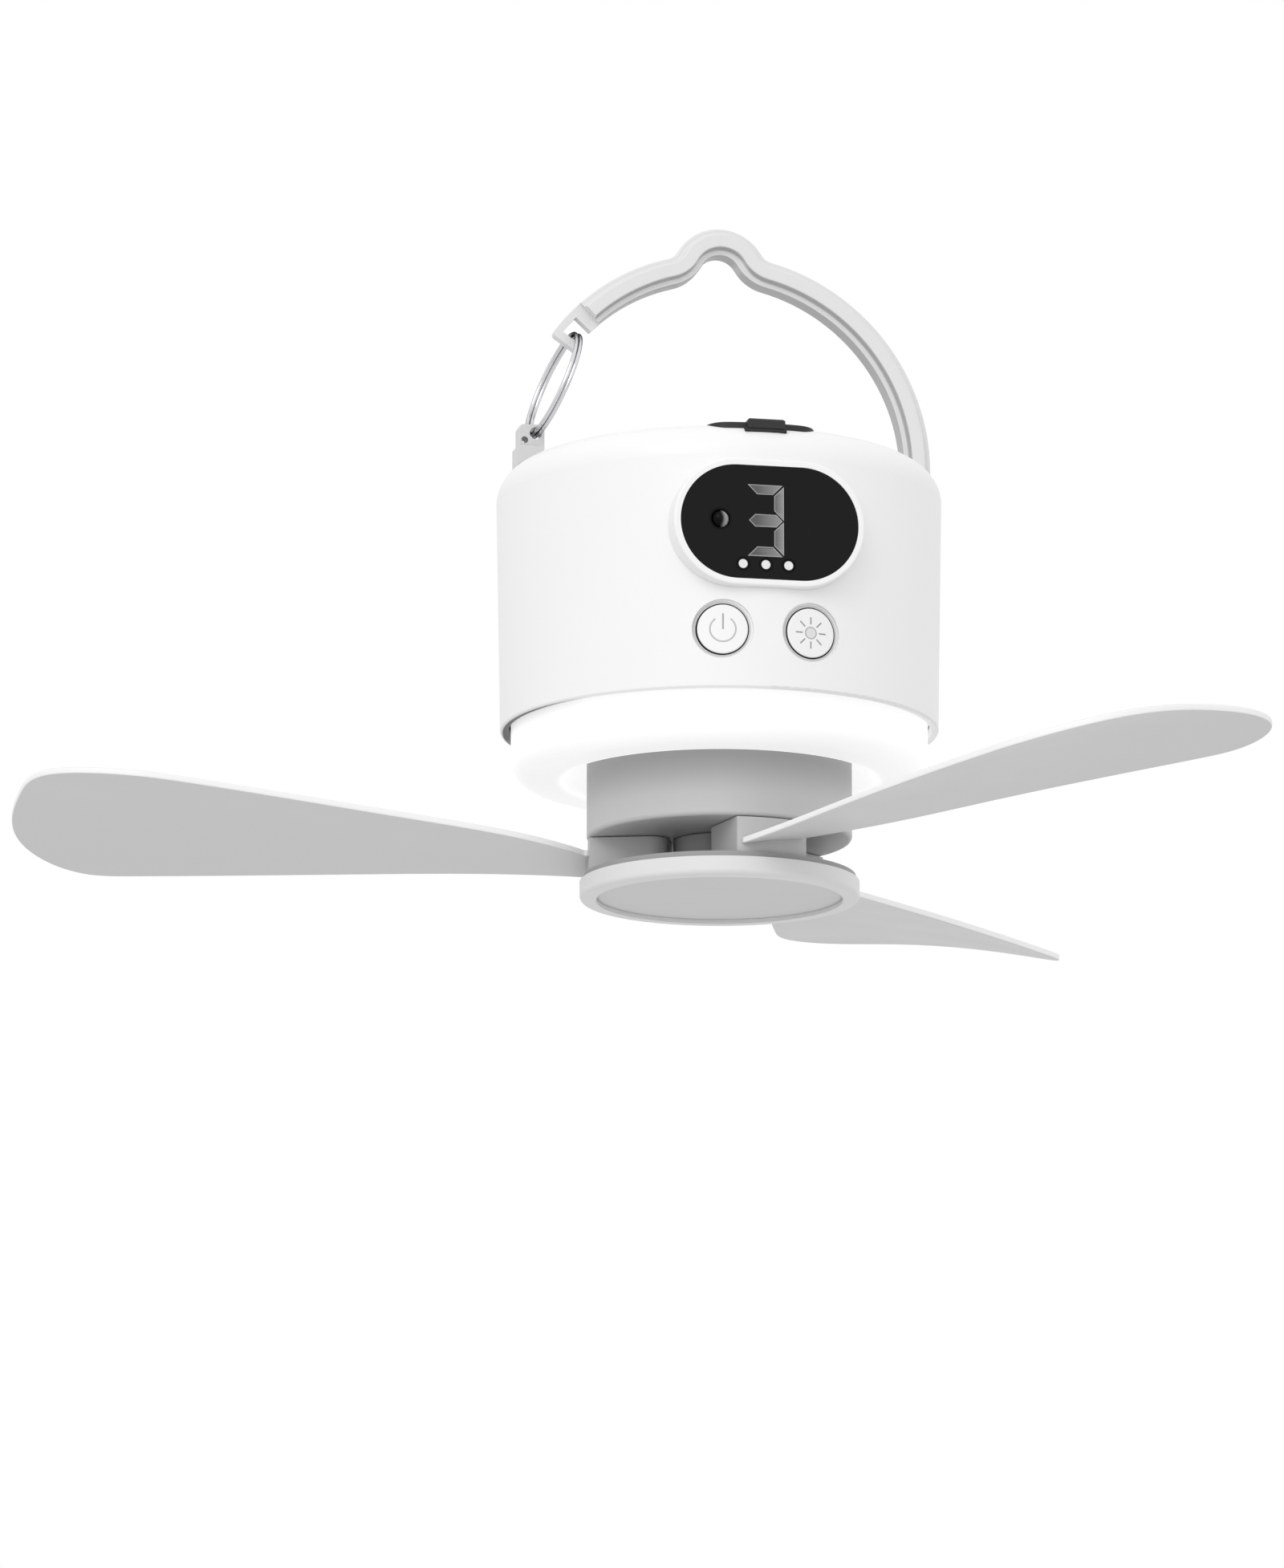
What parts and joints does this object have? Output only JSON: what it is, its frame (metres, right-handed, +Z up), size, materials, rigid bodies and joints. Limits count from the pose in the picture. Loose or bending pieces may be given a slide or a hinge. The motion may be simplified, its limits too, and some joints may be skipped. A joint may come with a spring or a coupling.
{
  "type": "portable camping fan",
  "caption": "Hanging camping fan with a battery body, a lamp ring, flat wide blades below and a carabiner handle held by a split ring.",
  "frame": {"origin": "centre of the round saddle at the top of the handle, where the fan hangs", "axes": "+Z up, display and buttons face -Y, handle hinge on the +X side"},
  "size_m": [0.3308, 0.3637, 0.1944],
  "materials": {
    "housing_white": "fine matte moulded ABS",
    "handle_grey": "satin moulded nylon",
    "neck_grey": "fine matte moulded ABS",
    "blade_plastic": "satin moulded polypropylene",
    "hub_plastic": "fine matte moulded ABS",
    "lamp_diffuser": "frosted, lit from inside",
    "display_black": "smoked glossy acrylic",
    "digit_grey": "brushed light grey",
    "indicator_light": "clear light pipe",
    "sensor_black": "dark dome",
    "button_white": "fine matte moulded ABS",
    "cover_rubber": "matte silicone",
    "ring_chrome": "polished plating",
    "screw_steel": "plain zinc",
    "motor_steel": "drawn steel",
    "shaft_steel": "ground steel",
    "magnet_dark": "sintered ferrite",
    "armature_copper": "laminated iron with copper windings",
    "board_green": "solder mask",
    "board_white": "white solder mask",
    "led_chip": "phosphor",
    "switch_black": "moulded nylon",
    "cell_wrap": "shrink sleeve on a steel can",
    "inner_plastic": "moulded ABS",
    "socket_metal": "nickel plated"
  },
  "bodies": {
    "handle": {"carry_handle": "handle_grey"},
    "housing": {"body_shell": "housing_white", "display_bezel": "housing_white", "display_lens": "display_black", "display_digit": "digit_grey", "indicator_lights": "indicator_light", "ir_sensor": "sensor_black", "display_module": "inner_plastic", "control_board": "board_green", "tact_switches": "switch_black", "board_screws": "screw_steel", "usb_c_socket": "socket_metal", "usb_a_socket": "socket_metal", "port_board": "board_green", "port_screws": "screw_steel", "battery_tray": "inner_plastic", "battery_cells": "cell_wrap", "battery_clamp": "inner_plastic", "power_board": "board_green", "power_screws": "screw_steel", "base_plate": "housing_white", "body_screws": "screw_steel", "lamp_diffuser": "lamp_diffuser", "led_board": "board_white", "led_chips": "led_chip", "neck_shell": "neck_grey", "neck_screws": "screw_steel", "motor_can": "motor_steel", "motor_bearings": "shaft_steel", "motor_magnets": "magnet_dark", "motor_screws": "screw_steel", "handle_pin": "shaft_steel", "ring_anchor": "handle_grey", "anchor_screw": "screw_steel"},
    "rotor": {"rotor_hub": "hub_plastic", "blade_1": "blade_plastic", "blade_2": "blade_plastic", "blade_3": "blade_plastic", "blade_screws": "screw_steel", "shaft_screw": "screw_steel", "hub_cap": "hub_plastic", "cap_disc": "neck_grey", "motor_shaft": "shaft_steel", "motor_armature": "armature_copper"},
    "ring": {"split_ring": "ring_chrome"},
    "power_key": {"power_button": "button_white"},
    "light_key": {"light_button": "button_white"},
    "cover": {"port_cover": "cover_rubber"}
  },
  "joints": [
    {"name": "handle_hinge", "type": "hinge", "parent": "handle", "child": "housing", "pos_m": [0.05725, 0, -0.06625], "axis": [0, 1, 0], "range_deg": [0, 1.4]},
    {"name": "rotor_spin", "type": "hinge", "parent": "housing", "child": "rotor", "pos_m": [0, 0, -0.15], "axis": [0, 0, 1], "continuous": true},
    {"name": "ring_swing", "type": "hinge", "parent": "housing", "child": "ring", "pos_m": [-0.0534, 0, -0.04875], "axis": [0, 1, 0], "range_deg": [-1, 75]},
    {"name": "power_press", "type": "slide", "parent": "housing", "child": "power_key", "axis": [0, 1, 0], "range_m": [0, 0.0008], "stiffness_N_per_m": 1500, "springref_m": -0.0002},
    {"name": "light_press", "type": "slide", "parent": "housing", "child": "light_key", "axis": [0, 1, 0], "range_m": [0, 0.0008], "stiffness_N_per_m": 1500, "springref_m": -0.0002},
    {"name": "port_cover_lift", "type": "hinge", "parent": "housing", "child": "cover", "pos_m": [0, -0.0454, -0.0568], "axis": [-1, 0, 0], "range_deg": [0, 105]}
  ]
}
